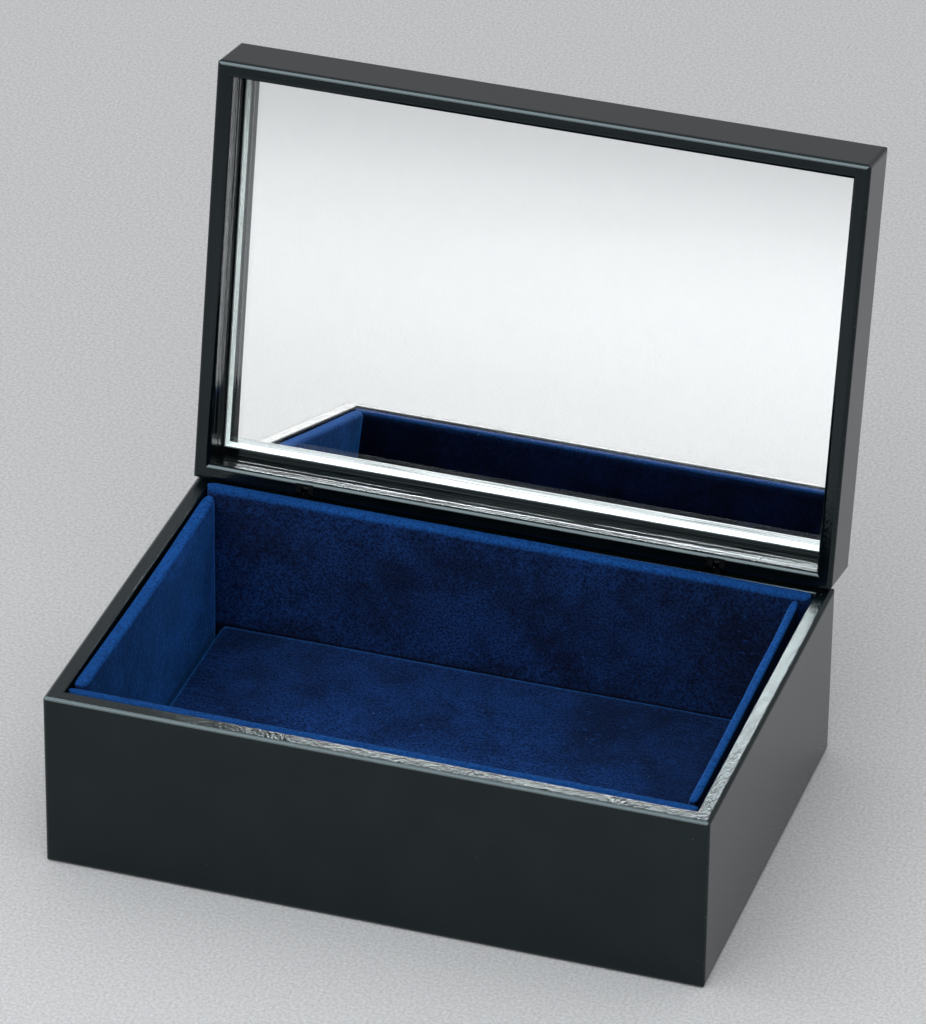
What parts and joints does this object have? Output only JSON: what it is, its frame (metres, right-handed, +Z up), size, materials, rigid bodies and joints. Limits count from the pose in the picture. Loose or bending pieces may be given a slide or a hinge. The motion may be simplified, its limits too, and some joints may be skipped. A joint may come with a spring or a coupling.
{
  "type": "trinket box",
  "caption": "Mitred rectangular vanity box in black lacquer with velvet-lined interior and a deep hinged lid that carries a recessed mirror.",
  "frame": {"origin": "centre of the underside of the lower case, on the surface it stands on", "axes": "+Z up, -Y towards the front, where the lid opens, +X towards the right-hand end seen from the front"},
  "size_m": [0.18, 0.1548, 0.1692],
  "materials": {
    "lacquer": "black piano lacquer on fibreboard, rounded and lightly rubbed edges",
    "velvet": "royal blue flocked velvet over card and thin padding",
    "mirror_glass": "clear float glass with ground edges",
    "mirror_silver": "silvered back with protective paint",
    "hinge_steel": "blackened steel"
  },
  "bodies": {
    "case": {"base_front_wall": "lacquer", "base_back_wall": "lacquer", "base_left_wall": "lacquer", "base_right_wall": "lacquer", "base_bottom_panel": "lacquer", "liner_front": "velvet", "liner_back": "velvet", "liner_left": "velvet", "liner_right": "velvet", "liner_floor": "velvet", "hinge_lug_left": "hinge_steel", "hinge_lug_right": "hinge_steel"},
    "lid": {"lid_front_wall": "lacquer", "lid_back_wall": "lacquer", "lid_left_wall": "lacquer", "lid_right_wall": "lacquer", "lid_top_panel": "lacquer", "mirror_glass": "mirror_glass", "mirror_backing": "mirror_silver", "hinge_socket_left": "hinge_steel", "hinge_socket_right": "hinge_steel", "hinge_pin_left": "hinge_steel", "hinge_pin_right": "hinge_steel"}
  },
  "joints": [
    {"name": "lid_hinge", "type": "hinge", "parent": "case", "child": "lid", "pos_m": [0, 0.0576, 0.0539], "axis": [1, 0, 0], "range_deg": [0, 100.8]}
  ]
}
